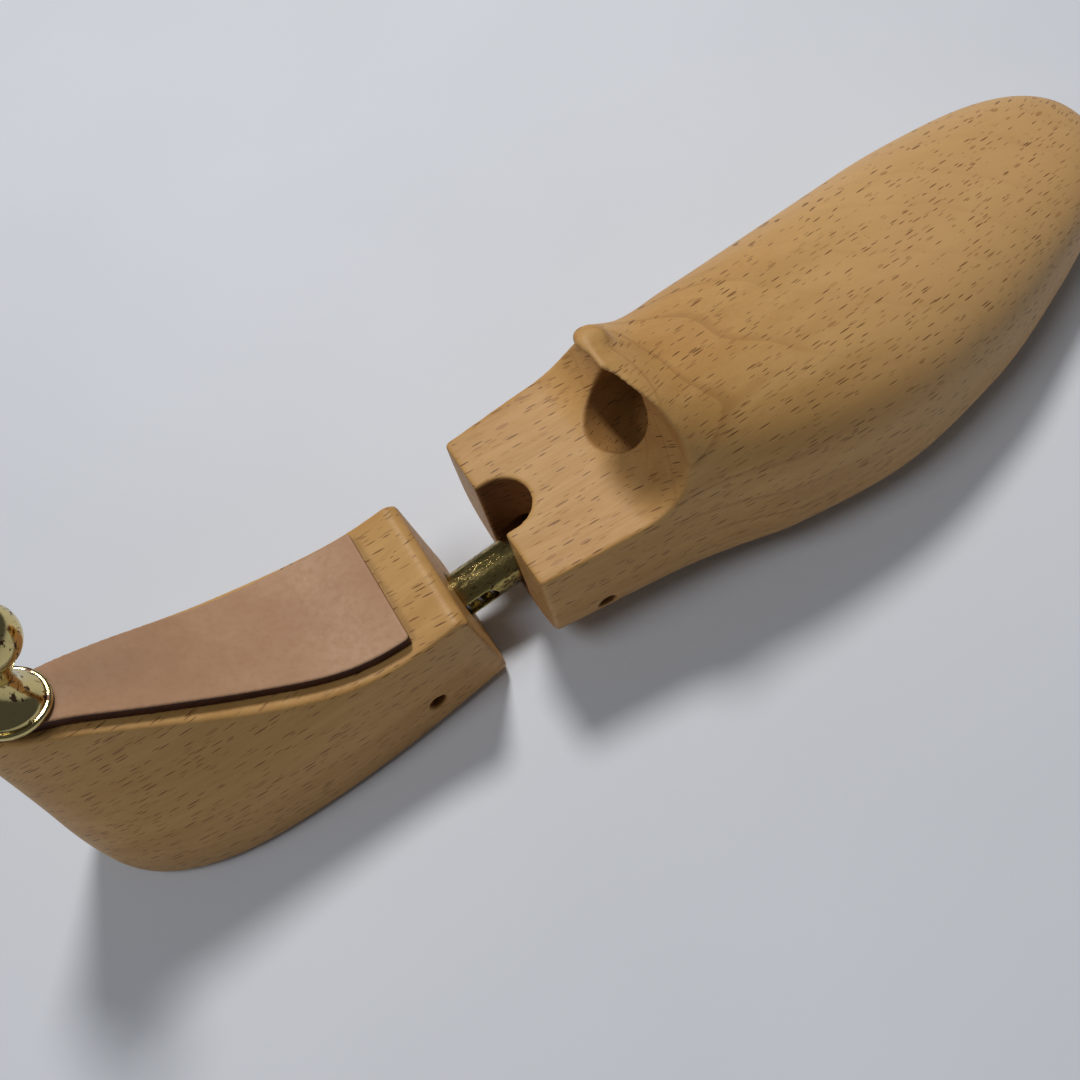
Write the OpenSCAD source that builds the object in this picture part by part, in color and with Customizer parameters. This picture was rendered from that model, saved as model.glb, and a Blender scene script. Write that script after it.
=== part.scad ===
// Sprung shoe tree for a right shoe: a last-shaped fore block hinged on a slotted brass tube,
// which slides on a coil spring in a heel block with a leather strip and a turned brass knob.
// +X points to the toe, +Y to the big-toe side and +Z up. The origin is on the heel seat, the
// flat that the heel stands on. Every length is in millimetres and every angle in degrees.

/* [Overall] */
// Distance from the origin to the rear face of the fore block
fore_x = 70; // [68:1:74]
// Gap between the two blocks along the tube when the spring is run out
gap = 14.3; // [14:0.1:16]
// Height of the tube's axis at the rear face of the fore block
axis_z = 14.5; // [14:0.1:15.5]
// Rise of the tube towards the toe
tube_rise = 7; // [5:0.5:7]
// Travel of the tube into the heel block
travel = 8.5; // [6:0.5:8.5]

/* [Fore block] */
// Length from the rear face to the tip of the toe
fore_len = 189; // [180:1:198]
// Widest part of the block, across the ball
ball_w = 67.5; // [64:0.5:74]
// Height of the instep crown at the lip of the hood
crown_z = 64; // [62:0.2:66]
// Height of the deck at the rear face
deck_z = 36.6; // [35:0.2:38]
// Rise of the deck towards the toe
deck_rise = 1.2; // [0:0.2:2]
// Radius of the round scoop under the hood
scoop_r = 14.5; // [13:0.5:15]
// Distance from the rear face to the centre of the scoop
scoop_at = 24; // [23:0.5:26]
// Width of the notch in the deck, which opens into a bore a little wider
notch_w = 14; // [13.8:0.2:15]
// Length of the notch
notch_len = 9.7; // [9:0.1:10]

/* [Finger recess] */
// Diameter of the recess
recess_d = 19.4; // [17:0.2:20]
// Slope of the recess below the horizontal
recess_slope = 45; // [40:1:50]
// Length of the recess past the point where it leaves the scoop, without its round end
recess_len = 22; // [14:1:26]
// Distance of the recess from the centre line, towards the big toe
recess_y = 1.8; // [-3:0.2:4]

/* [Heel block] */
// Widest part of the block, near the seat
heel_w = 46.4; // [45:0.4:50]
// Distance from the origin to the back of the block
heel_back = 42; // [40:1:46]
// Lean of the knob and of the land under it, from upright towards the toe
knob_lean = 20; // [16:1:24]
// Depth of the chamfer along the top front edge
front_chamfer = 1.4; // [0.8:0.2:2]

/* [Leather strip] */
// Thickness of the leather
leather_t = 3; // [2:0.2:3.6]
// Distance from the heel block's front face to the leather's front edge
leather_inset = 12.8; // [11:0.2:15]

/* [Tube, spring and pins] */
// Outer diameter of the tube
tube_d = 11; // [10.6:0.1:11]
// Wall thickness of the tube
tube_wall = 0.9; // [0.7:0.1:1.1]
// Diameter of both cross pins
pin_d = 4.4; // [4:0.1:4.6]
// Distance from the fore block's rear face to its pin
fore_pin_at = 12.9; // [12.6:0.1:13.2]
// Distance from the heel block's front face to its pin
heel_pin_at = 16.8; // [16:0.1:18]
// Depth of each pin's end below the side of its block
pin_recess = 3; // [2:0.2:4]
// Length of slot that shows in front of the heel block
slot_shown = 8; // [6:0.5:10]
// Diameter of the spring's wire
wire_d = 1.3; // [1:0.1:1.4]
// Turns of the spring
turns = 12; // [9:1:13]

/* [Knob] */
// Diameter of the knob's base
knob_base_d = 16.2; // [15:0.2:18]
// Diameter of the knob's round head
knob_head_d = 13.4; // [12:0.2:15]
// Height of the head's centre above the leather
knob_h = 21.4; // [20:0.2:24]
// Diameter of the double-ended screw that holds the knob
screw_d = 4; // [3.4:0.2:4.4]

/* [Hidden] */
$fn = 96;

WOOD = "burlywood";
LEATHER = "rosybrown";
BRASS = "goldenrod";
STEEL = "silver";

// Shape of the fore block, a row for each station: distance from the rear face, half widths on
// the little-toe and big-toe sides, underside, height of the widest point, crown, and the
// crown's shift towards the big toe.
FORE_STATIONS = [
    [0, 22.8, 22.8, 6, 22, 64.6, 0],
    [32, 25.2, 25.5, 3, 22, 64, 2],
    [45, 27, 25, 1.6, 21, 56.5, 3.5],
    [60, 30, 29, 0.4, 20, 52.2, 6],
    [90, 30.8, 36.7, -0.7, 17, 45.4, 9],
    [120, 24.2, 43, -0.6, 15, 39.2, 13],
    [150, 14.3, 49.5, 0.8, 13, 32, 18],
    [189, 5, 59.5, 4.2, 12, 25.6, 26]];
FORE_MODEL_LEN = 189;
FORE_MODEL_W = 67.5;
FORE_MODEL_CROWN = 64;
// Roundness of a section: above its widest point on each side, and below it.
CROWN_POWER_LATERAL = 2.9;
CROWN_POWER_MEDIAL = 2.25;
SOLE_POWER = 2.9;
// Distance that the hood's lip stands ahead of the scoop's centre.
HOOD_LIP = 7.8;
// The toe closes from this station on, in plan and in height.
TOE_FROM = 120;
TOE_PLAN_POWER = 2.2;
TOE_HEIGHT_POWER = 3;
FORE_SIDES = 44;
FORE_RINGS = 22;
TOE_RINGS = 12;

// Shape of the heel block, a row for each height: half width at the front, half width over the
// seat, and distance from the origin to the back.
HEEL_SLICES = [
    [-0.4, 14.6, 20, 38.5],
    [1.2, 16.9, 22.3, 41],
    [4, 17.4, 23, 42.2],
    [12, 17.6, 23.2, 42.6],
    [22, 18, 21.8, 42.4],
    [32, 18.2, 18.3, 41.9],
    [42, 16, 14.6, 41.5],
    [52, 14, 11.4, 41.1],
    [62, 12, 8.9, 40.6],
    [72, 10.4, 7.6, 40]];
HEEL_MODEL_W = 46.4;
HEEL_MODEL_BACK = 42;
HEEL_HEIGHTS = [-0.4, 0.3, 1, 2, 4, 7.5, 12, 17, 22, 27, 32, 37, 42, 47, 52, 57, 62, 67, 72];
HEEL_SIDE_STEPS = 9;
HEEL_BACK_STEPS = 12;
HEEL_SEAT_X = -2;
HEEL_BACK_POWER = 2.2;
HEEL_FRONT_LIFT = 1.6;
HEEL_LIFT_FROM = 14;
HEEL_LIFT_FADE = 40;

// Top line of the heel block, from the front edge up to the knob's land.
LAND_X = -22;
LAND_Z = 56.9;
LAND_SLOPE = tan(knob_lean);
TOP_LINE = [
    [-46, LAND_Z + 24 * LAND_SLOPE],
    [-34, LAND_Z + 12 * LAND_SLOPE],
    [LAND_X, LAND_Z],
    [-14, 52.6],
    [-6, 47.9],
    [8, 39.8],
    [24, 33.2],
    [38, 31.2],
    [53, 33.3],
    [70, 36]];
TOP_STEP = 2;

// Half width of the leather strip along X.
LEATHER_WIDTHS = [
    [-36, 5],
    [-25, 6.2],
    [-9, 9.4],
    [8, 12.2],
    [24, 15],
    [34, 15.7],
    [60, 15.2]];
LEATHER_BACK = -38;
LEATHER_STEPS = 26;
LEATHER_SHIFT = 0.2;
CONTACT_GAP = 0.05;

// The knob stands here on the leather.
KNOB_X = -29.1;
KNOB_Y = 0.5;
LEATHER_RISE = leather_t / cos(knob_lean);
KNOB_FOOT_Z = LAND_Z + (LAND_X - KNOB_X) * LAND_SLOPE + LEATHER_RISE;
SCREW_IN_WOOD = 24;
SCREW_IN_KNOB = 6;

// Distances along the tube's axis from the fore block's rear face, positive towards the toe.
HEEL_FACE_T = -gap;
HEEL_PIN_T = HEEL_FACE_T - heel_pin_at;
PIN_CLEAR = 0.05;
SLOT_CLEAR = 0.1;
SLOT_REAR_T = HEEL_PIN_T - pin_d / 2 - SLOT_CLEAR;
SLOT_FRONT_T = HEEL_FACE_T + slot_shown;
TUBE_END_WALL = 4.6;
TUBE_REAR_T = SLOT_REAR_T - TUBE_END_WALL;
TUBE_PAST_PIN = 4;
TUBE_FRONT_T = fore_pin_at + TUBE_PAST_PIN;
TUBE_BORE_CLEAR = 0.3;
HEEL_BORE_T = TUBE_REAR_T - travel - 1;
FORE_BORE_T = TUBE_FRONT_T + 2.1;
FORE_BORE_D = notch_w + 0.4;
FORE_PIN_L = 2 * (23 - pin_recess);
HEEL_PIN_L = 2 * (19.6 - pin_recess);

// The spring and its washers fill the tube between the two pins.
WASHER_T = 1.2;
WASHER_CLEAR = 0.15;
SPRING_CLEAR = 0.3;
SPRING_REAR_T = HEEL_PIN_T + pin_d / 2 + WASHER_T + 2 * CONTACT_GAP;
SPRING_FRONT_T = fore_pin_at - pin_d / 2 - WASHER_T - 2 * CONTACT_GAP;
SPRING_R = tube_d / 2 - tube_wall - SPRING_CLEAR - wire_d / 2;
SPRING_STEPS = 14;
WIRE_SIDES = 6;

// Smooth curve through the rows of a table at x. Each row starts with its own x.
function row_under(x, table, i = 0) =
    i >= len(table) - 2 || x < table[i + 1][0] ? i : row_under(x, table, i + 1);
function row_slope(table, i) =
    let (a = max(i - 1, 0), b = min(i + 1, len(table) - 1))
    (table[b] - table[a]) / (table[b][0] - table[a][0]);
function curve_at(x, table) =
    let (i = row_under(x, table),
         span = table[i + 1][0] - table[i][0],
         t = min(max((x - table[i][0]) / span, 0), 1))
    (2 * t ^ 3 - 3 * t ^ 2 + 1) * table[i] + (t ^ 3 - 2 * t ^ 2 + t) * span * row_slope(table, i)
    + (3 * t ^ 2 - 2 * t ^ 3) * table[i + 1] + (t ^ 3 - t ^ 2) * span * row_slope(table, i + 1);

// Signed power, which makes a circle's cosine and sine into those of a squarer outline.
function squared_off(v, power) = sign(v) * abs(v) ^ (2 / power);
// Share of the full width or height that is left at u, which runs from 0 to 1 over the toe.
function closing(u, power) = u >= 1 ? 0 : (1 - u ^ power) ^ (1 / power);

// One cross-section of the fore block, s along the block from its rear face.
function fore_ring(s) =
    let (row = curve_at(s, FORE_STATIONS),
         widen = ball_w / FORE_MODEL_W,
         raise = crown_z / FORE_MODEL_CROWN,
         u = max((s - TOE_FROM) / (FORE_MODEL_LEN - TOE_FROM), 0),
         middle = widen * (row[2] - row[1]) / 2,
         half = widen * (row[2] + row[1]) / 2 * closing(u, TOE_PLAN_POWER),
         tall = closing(u, TOE_HEIGHT_POWER),
         side_z = row[4],
         crown_y = middle + (row[6] - middle) * closing(u, TOE_PLAN_POWER))
    [for (k = [FORE_SIDES : -1 : 1])
        let (a = 360 * k / FORE_SIDES,
             above = sin(a) >= 0,
             power = !above ? SOLE_POWER : cos(a) > 0 ? CROWN_POWER_MEDIAL : CROWN_POWER_LATERAL,
             from_y = above ? crown_y : middle,
             side_y = middle + sign(cos(a)) * half,
             reach = above ? row[5] * raise - side_z : side_z - row[3])
        [fore_x + s * fore_len / FORE_MODEL_LEN,
         from_y + abs(side_y - from_y) * squared_off(cos(a), power),
         side_z + reach * tall * squared_off(sin(a), power)]];

// One horizontal slice of the heel block, at height z before its front is lifted.
function heel_half(z) =
    let (row = curve_at(z, HEEL_SLICES),
         widen = heel_w / HEEL_MODEL_W,
         front_x = fore_x - 10,
         back_x = -row[3] * heel_back / HEEL_MODEL_BACK)
    concat(
        [for (k = [0 : HEEL_SIDE_STEPS])
            let (x = front_x + (HEEL_SEAT_X - front_x) * k / HEEL_SIDE_STEPS,
                 u = min(max((55.7 - x) / (55.7 - HEEL_SEAT_X), 0), 1))
            [x, widen * (row[1] + (row[2] - row[1]) * sin(90 * u))]],
        [for (k = [1 : HEEL_BACK_STEPS])
            let (a = 90 * k / HEEL_BACK_STEPS)
            [HEEL_SEAT_X + (back_x - HEEL_SEAT_X) * sin(a) ^ (2 / HEEL_BACK_POWER),
             widen * row[2] * max(cos(a), 0) ^ (2 / HEEL_BACK_POWER)]]);
function front_lift(x, z) =
    HEEL_FRONT_LIFT * (max(x - HEEL_LIFT_FROM, 0) / (fore_x - gap - HEEL_LIFT_FROM)) ^ 2
    * max(1 - z / HEEL_LIFT_FADE, 0);
function heel_ring(z) =
    let (half = heel_half(z), n = len(half))
    [for (i = [0 : 2 * n - 2])
        let (p = i < n ? [half[i][0], -half[i][1]] : half[2 * n - 2 - i])
        [p[0], p[1], z + front_lift(p[0], z)]];

function top_z(x) = curve_at(x, TOP_LINE)[1];
function leather_half(x) =
    let (from_back = x - LEATHER_BACK, w = curve_at(x, LEATHER_WIDTHS)[1], r = 5)
    from_back >= r ? w : w * sqrt(max(1 - ((r - from_back) / r) ^ 2, 0));

// Solid skin over rings that all have the same number of points. With paired set, the first
// ring's points j and n - 1 - j mirror each other, and strips between them close its end.
module skin(rings, paired = false) {
    n = len(rings[0]);
    last = len(rings) - 1;
    points = [for (ring = rings, p = ring) p];
    walls = [for (i = [0 : last - 1], j = [0 : n - 1], half = [0, 1])
        let (a = i * n + j, b = i * n + (j + 1) % n, c = b + n, d = a + n)
        half == 0 ? [a, b, c] : [a, c, d]];
    low_cap = paired
        ? [for (j = [0 : (n - 3) / 2]) [j, n - 1 - j, n - 2 - j, j + 1]]
        : [[for (j = [n - 1 : -1 : 0]) j]];
    high_cap = [[for (j = [0 : n - 1]) last * n + j]];
    polyhedron(points, concat(walls, low_cap, high_cap), convexity = 6);
}

// Puts its children at t along the tube's axis, with their +X along the tube.
module on_axis(t) {
    translate([fore_x, 0, axis_z])
        rotate([0, -tube_rise, 0])
            translate([t, 0, 0])
                children();
}

// A round bar of length l across the block, centred on the tube's axis at t.
module cross_bar(t, d, l) {
    on_axis(t)
        rotate([90, 0, 0])
            cylinder(d = d, h = l, center = true);
}

// A round bar along the tube's axis from t0 to t1.
module axis_bar(t0, t1, d) {
    on_axis(t0)
        rotate([0, 90, 0])
            cylinder(d = d, h = t1 - t0);
}

// Stands its children on the knob's land, with their +Z along the knob's axis.
module on_land() {
    translate([KNOB_X, KNOB_Y, KNOB_FOOT_Z])
        rotate([0, knob_lean, 0])
            children();
}

// Side view of what is cut away above the deck and under the hood.
module hood_profile() {
    lip_x = scoop_at + HOOD_LIP;
    top = 60;
    translate([-10, 0])
        square([10 + scoop_at, top]);
    translate([0, scoop_r])
        square([lip_x, top]);
    translate([scoop_at, scoop_r])
        circle(r = scoop_r);
}

module hood_cut() {
    translate([fore_x, 0, deck_z])
        rotate([0, -deck_rise, 0])
            rotate([90, 0, 0])
                linear_extrude(height = 120, center = true)
                    hood_profile();
}

// The recess for a finger, sloping down towards the toe from under the hood.
module recess_cut() {
    mouth = 16;
    translate([fore_x + scoop_at + 6, recess_y, deck_z + 11.4])
        rotate([0, 90 + recess_slope, 0]) {
            translate([0, 0, -mouth])
                cylinder(d = recess_d, h = mouth + recess_len);
            translate([0, 0, recess_len])
                sphere(d = recess_d);
        }
}

module notch_cut() {
    height = deck_z + 10 - axis_z;
    straight = notch_len - notch_w / 2;
    translate([fore_x, 0, axis_z]) {
        translate([straight, 0, 0])
            cylinder(d = notch_w, h = height);
        translate([-5, -notch_w / 2, 0])
            cube([5 + straight, notch_w, height]);
    }
}

module fore_block() {
    stations = concat(
        [for (k = [0 : FORE_RINGS - 1]) TOE_FROM * k / FORE_RINGS],
        [for (k = [0 : TOE_RINGS])
            TOE_FROM + (FORE_MODEL_LEN - TOE_FROM) * sin(89 * k / TOE_RINGS)]);
    color(WOOD)
        difference() {
            skin([for (s = stations) fore_ring(s)]);
            translate([fore_x - 20, -100, -20])
                cube([fore_len + 40, 200, 20]);
            hood_cut();
            notch_cut();
            recess_cut();
            axis_bar(-5, FORE_BORE_T, FORE_BORE_D);
            cross_bar(fore_pin_at, pin_d, 80);
        }
}

// Side view of what is cut away above the heel block's top line.
module heel_top_cut() {
    xs = [for (x = [-46 : TOP_STEP : 66]) x];
    line = [for (x = xs) [x, top_z(x)]];
    rotate([90, 0, 0])
        linear_extrude(height = 80, center = true)
            polygon(concat(line, [[66, 100], [-46, 100]]));
}

module front_chamfer_cut() {
    edge_h = (top_z(fore_x - gap - 2) - axis_z) / cos(tube_rise) + gap * sin(tube_rise);
    on_axis(HEEL_FACE_T)
        translate([0, 0, edge_h])
            rotate([0, 45, 0])
                cube([4 * front_chamfer, 80, 2 * front_chamfer], center = true);
}

module heel_block() {
    color(WOOD)
        difference() {
            skin([for (z = HEEL_HEIGHTS) heel_ring(z)], paired = true);
            translate([-100, -100, -20])
                cube([200, 200, 20]);
            heel_top_cut();
            on_axis(HEEL_FACE_T)
                translate([0, -50, -50])
                    cube([60, 100, 120]);
            front_chamfer_cut();
            axis_bar(HEEL_BORE_T, HEEL_FACE_T + 5, tube_d + 2 * TUBE_BORE_CLEAR);
            cross_bar(HEEL_PIN_T, pin_d, 80);
            on_land()
                translate([0, 0, -LEATHER_RISE - SCREW_IN_WOOD])
                    cylinder(d = screw_d, h = SCREW_IN_WOOD + 10);
        }
}

module leather_strip() {
    front_x = fore_x - gap - leather_inset - 1.5;
    rings = [for (k = [0 : LEATHER_STEPS])
        let (x = LEATHER_BACK + 0.05 + (front_x - LEATHER_BACK) * k / LEATHER_STEPS,
             w = leather_half(x),
             mid = LEATHER_SHIFT,
             low = top_z(x) + CONTACT_GAP,
             high = low + leather_t / cos(atan(top_z(x + 0.5) - top_z(x - 0.5))))
        [[x, mid - w, high], [x, mid + w, high], [x, mid + w, low], [x, mid - w, low]]];
    color(LEATHER)
        difference() {
            skin(rings);
            on_land()
                cylinder(d = knob_base_d + 1, h = 20);
            on_land()
                translate([0, 0, -10])
                    cylinder(d = screw_d + 0.4, h = 20);
        }
}

// Half outline of the knob, from its base up to the crown of its head.
function knob_outline() =
    let (base_r = knob_base_d / 2, head_r = knob_head_d / 2, neck_r = 2.8, rim_h = 1.6,
         neck_z = 10, head_z = knob_h)
    concat(
        [[0, CONTACT_GAP], [base_r - 0.4, CONTACT_GAP], [base_r, 0.5], [base_r, rim_h - 0.3],
         [base_r - 0.5, rim_h]],
        [for (a = [0 : 15 : 90])
            [neck_r + (base_r - 2.2 - neck_r) * (1 - sin(a)), 2.6 + (neck_z - 2.6) * (1 - cos(a))]],
        [for (a = [-38 : 14 : 88]) [head_r * cos(a), head_z + head_r * sin(a)]],
        [[0, head_z + head_r]]);

module knob() {
    color(BRASS)
        on_land()
            difference() {
                rotate_extrude()
                    polygon(knob_outline());
                translate([0, 0, -1])
                    cylinder(d = screw_d, h = SCREW_IN_KNOB + 2);
            }
}

module knob_screw() {
    color(STEEL)
        on_land()
            translate([0, 0, -LEATHER_RISE - SCREW_IN_WOOD + 1])
                cylinder(d = screw_d - 2 * CONTACT_GAP, h = SCREW_IN_WOOD + LEATHER_RISE + SCREW_IN_KNOB - 1);
}

module slot_cut() {
    width = pin_d + 2 * SLOT_CLEAR;
    centre_rear = SLOT_REAR_T + width / 2;
    centre_front = SLOT_FRONT_T - width / 2;
    cross_bar(centre_rear, width, 20);
    cross_bar(centre_front, width, 20);
    on_axis(centre_rear)
        translate([0, -10, -width / 2])
            cube([centre_front - centre_rear, 20, width]);
}

module tube() {
    color(BRASS)
        difference() {
            axis_bar(TUBE_REAR_T, TUBE_FRONT_T, tube_d);
            axis_bar(TUBE_REAR_T - 1, TUBE_FRONT_T + 1, tube_d - 2 * tube_wall);
            slot_cut();
            cross_bar(fore_pin_at, pin_d + 2 * PIN_CLEAR, 20);
        }
}

module washer(t) {
    outer = tube_d - 2 * tube_wall - 2 * WASHER_CLEAR;
    color(STEEL)
        difference() {
            axis_bar(t, t + WASHER_T, outer);
            axis_bar(t - 1, t + WASHER_T + 1, outer - 4);
        }
}

module spring_washer_rear() {
    washer(HEEL_PIN_T + pin_d / 2 + CONTACT_GAP);
}

module spring_washer_front() {
    washer(fore_pin_at - pin_d / 2 - CONTACT_GAP - WASHER_T);
}

// A coil swept as rings of wire around the tube's axis, with closed ends.
module spring() {
    length = SPRING_FRONT_T - SPRING_REAR_T - wire_d;
    closed = 1;
    count = turns * SPRING_STEPS;
    rings = [for (i = [0 : count])
        let (a = 360 * i / SPRING_STEPS,
             turn = i / SPRING_STEPS,
             open_turns = turns - 2 * closed,
             shut = wire_d * 1.05,
             x = turn < closed ? shut * turn
                 : turn > turns - closed ? length - shut * (turns - turn)
                 : shut * closed + (length - 2 * shut * closed) * (turn - closed) / open_turns)
        [for (k = [0 : WIRE_SIDES - 1])
            let (b = 360 * k / WIRE_SIDES, r = SPRING_R + wire_d / 2 * cos(b))
            [x + wire_d / 2 * sin(b), r * cos(a), r * sin(a)]]];
    color(STEEL)
        on_axis(SPRING_REAR_T + wire_d / 2)
            skin(rings);
}

module heel_pin() {
    color(STEEL)
        cross_bar(HEEL_PIN_T, pin_d, HEEL_PIN_L);
}

module fore_pin() {
    color(STEEL)
        cross_bar(fore_pin_at, pin_d, FORE_PIN_L);
}

fore_block();
heel_block();
leather_strip();
knob();
knob_screw();
tube();
spring();
spring_washer_rear();
spring_washer_front();
heel_pin();
fore_pin();
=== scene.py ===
"""Looks of the sprung shoe tree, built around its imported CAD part.

Every size is in millimetres in the row frame: +X to the toe, +Y to the big-toe side, +Z up, origin
on the heel seat. The blocks, the leather and the tube are distance fields, negative inside, meshed at
their zero level. The knob and the spring are rings of points. Meshes are written in metres.
"""

import math

import bpy
import numpy as np
from mathutils import Matrix, Vector


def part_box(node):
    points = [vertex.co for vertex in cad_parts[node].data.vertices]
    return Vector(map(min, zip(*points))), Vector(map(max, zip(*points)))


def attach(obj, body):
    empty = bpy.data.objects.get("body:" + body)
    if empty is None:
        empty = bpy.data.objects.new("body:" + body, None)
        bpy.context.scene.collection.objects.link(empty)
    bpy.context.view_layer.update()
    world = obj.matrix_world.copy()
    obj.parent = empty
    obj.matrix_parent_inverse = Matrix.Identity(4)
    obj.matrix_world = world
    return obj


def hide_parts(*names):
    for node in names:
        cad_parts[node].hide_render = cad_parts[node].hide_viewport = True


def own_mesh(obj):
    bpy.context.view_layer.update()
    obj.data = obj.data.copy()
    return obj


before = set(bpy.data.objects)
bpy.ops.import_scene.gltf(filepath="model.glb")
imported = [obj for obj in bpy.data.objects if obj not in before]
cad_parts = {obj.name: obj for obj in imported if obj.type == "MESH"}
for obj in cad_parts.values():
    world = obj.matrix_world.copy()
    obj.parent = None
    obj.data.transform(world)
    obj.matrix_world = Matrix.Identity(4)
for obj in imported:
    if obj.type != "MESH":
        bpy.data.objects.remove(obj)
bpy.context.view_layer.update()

MM = 0.001

# ---------------------------------------------------------------- fore block sizes

# The deck is the flat behind the hood. Its rear edge is at the top of the rear face, at FORE_X.
FORE_X = 70
FORE_LEN = 189
DECK_Z = 36.6
DECK_RISE = math.radians(1.2)

# The scoop is a round cut along Y. Its middle is SCOOP_AT from the deck's rear edge, and above
# its middle the hood overhangs it, up to a lip HOOD_LIP further forward.
SCOOP_R = 14.5
SCOOP_AT = 24
HOOD_LIP = 7.8

# A round bead along the lip grows from BEAD_FROM_Y and ends in a nub at the hood's tip.
BEAD_R = 1.75
BEAD_IN = 1.3
BEAD_FROM_Y = -7.5
BEAD_GROWS = 5
NUB = (104.2, 6.6, 62.75)
NUB_R = 1.75
NUB_STRETCH = (1.8, 1.5, 1)
BEAD_TO_Y = NUB[1] + 1.5
BEAD_FADES = 2

# The finger recess is a bore down and forward through a point in front of the scoop's middle. It
# starts RECESS_MOUTH behind that point and ends in a half ball RECESS_LEN past it.
RECESS_R = 9.7
RECESS_SLOPE = math.radians(45)
RECESS_LEN = 22
RECESS_MOUTH = 16
RECESS_X = FORE_X + SCOOP_AT + 6
RECESS_Y = 1.8
RECESS_Z = DECK_Z + 11.4

# Distance from the rear face, half widths on the little-toe and big-toe sides, underside,
# height of the widest point, crown, and the crown's shift towards the big toe.
FORE_STATIONS = [
    [0, 22.8, 22.8, 6, 22, 64.6, 0],
    [32, 25.2, 25.5, 3, 22, 64, 2],
    [45, 27, 25, 1.6, 21, 56.5, 3.5],
    [60, 30, 29, 0.4, 20, 52.2, 6],
    [90, 30.8, 36.7, -0.7, 17, 45.4, 9],
    [120, 24.2, 43, -0.6, 15, 39.2, 13],
    [150, 14.3, 49.5, 0.8, 13, 32, 18],
    [189, 5, 59.5, 4.2, 12, 25.6, 26],
]
CROWN_POWER_LATERAL = 2.9
CROWN_POWER_MEDIAL = 2.25
SOLE_POWER = 2.9
TOE_FROM = 120
TOE_PLAN_POWER = 2.2
TOE_HEIGHT_POWER = 3

# Radii of rounded edges, and of the hollows that blend the bead and the nub in. The hood's edge is
# rounded to HOOD_ROUND at the deck, and further up by up to HOOD_ROUND_GROWTH more.
FORE_SOLE_ROUND = 1.0
FORE_REAR_ROUND = 1.1
LIP_ROUND = 0.8
HOOD_ROUND = 0.6
HOOD_ROUND_GROWTH = 0.7
HOOD_ROUND_FROM = 6
HOOD_ROUND_OVER = 6
BEAD_BLEND = 0.5
NUB_BLEND = 2.6
MOUTH_ROUND = 0.4
PIN_HOLE_ROUND = 0.35
RECESS_ROUND = 0.3

# ---------------------------------------------------------------- heel block and leather sizes

GAP = 14.3
HEEL_FRONT_X = FORE_X - GAP
HEEL_SEAT_X = -2
HEEL_BACK_POWER = 2.2

# Height, half width at the front, half width over the seat, distance to the back.
HEEL_SLICES = [
    [-0.4, 14.6, 20, 38.5],
    [1.2, 16.9, 22.3, 41],
    [4, 17.4, 23, 42.2],
    [12, 17.6, 23.2, 42.6],
    [22, 18, 21.8, 42.4],
    [32, 18.2, 18.3, 41.9],
    [42, 16, 14.6, 41.5],
    [52, 14, 11.4, 41.1],
    [62, 12, 8.9, 40.6],
    [72, 10.4, 7.6, 40],
]

# Towards the front the slices are raised, most of all at the sole, which rounds its edges off more.
HEEL_FRONT_LIFT = 1.6
HEEL_LIFT_FROM = 14
HEEL_LIFT_FADE = 40

FRONT_CHAMFER = 1.4
CHAMFER_ROUND = 0.5
HEEL_FRONT_ROUND = 0.9
HEEL_SOLE_ROUND = 0.5
HEEL_TOP_ROUND = 0.75

# The land is the straight slope under the knob, square to the knob's axis.
KNOB_LEAN = math.radians(20)
LAND_X = -22
LAND_Z = 56.9
LAND_SLOPE = math.tan(KNOB_LEAN)
TOP_LINE = [
    [-46, LAND_Z + 24 * LAND_SLOPE],
    [-34, LAND_Z + 12 * LAND_SLOPE],
    [LAND_X, LAND_Z],
    [-14, 52.6],
    [-6, 47.9],
    [8, 39.8],
    [24, 33.2],
    [38, 31.2],
    [53, 33.3],
    [70, 36],
]

LEATHER_THICK = 3
LEATHER_WIDTHS = [
    [-36, 5],
    [-25, 6.2],
    [-9, 9.4],
    [8, 12.2],
    [24, 15],
    [34, 15.7],
    [60, 15.2],
]
LEATHER_BACK = -38
LEATHER_BACK_R = 5
LEATHER_INSET = 12.8
LEATHER_FRONT = HEEL_FRONT_X - LEATHER_INSET - 1.5
LEATHER_SHIFT = 0.2
LEATHER_CORNER_ROUND = 0.8
LEATHER_TOP_ROUND = 0.3
LEATHER_UNDER_ROUND = 0.2
CONTACT_GAP = 0.05

# ---------------------------------------------------------------- knob, tube and spring sizes

LEATHER_RISE = LEATHER_THICK / math.cos(KNOB_LEAN)
KNOB_X = -29.1
KNOB_Y = 0.5
KNOB_FOOT_Z = LAND_Z + (LAND_X - KNOB_X) * LAND_SLOPE + LEATHER_RISE
KNOB_BASE_R = 8.1
KNOB_NECK_R = 2.75
KNOB_HEAD_R = 6.7
KNOB_H = 21.4
KNOB_CLEAR = 0.5
SCREW_R = 2
SCREW_CLEAR = 0.2
SCREW_IN_WOOD = 24

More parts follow.
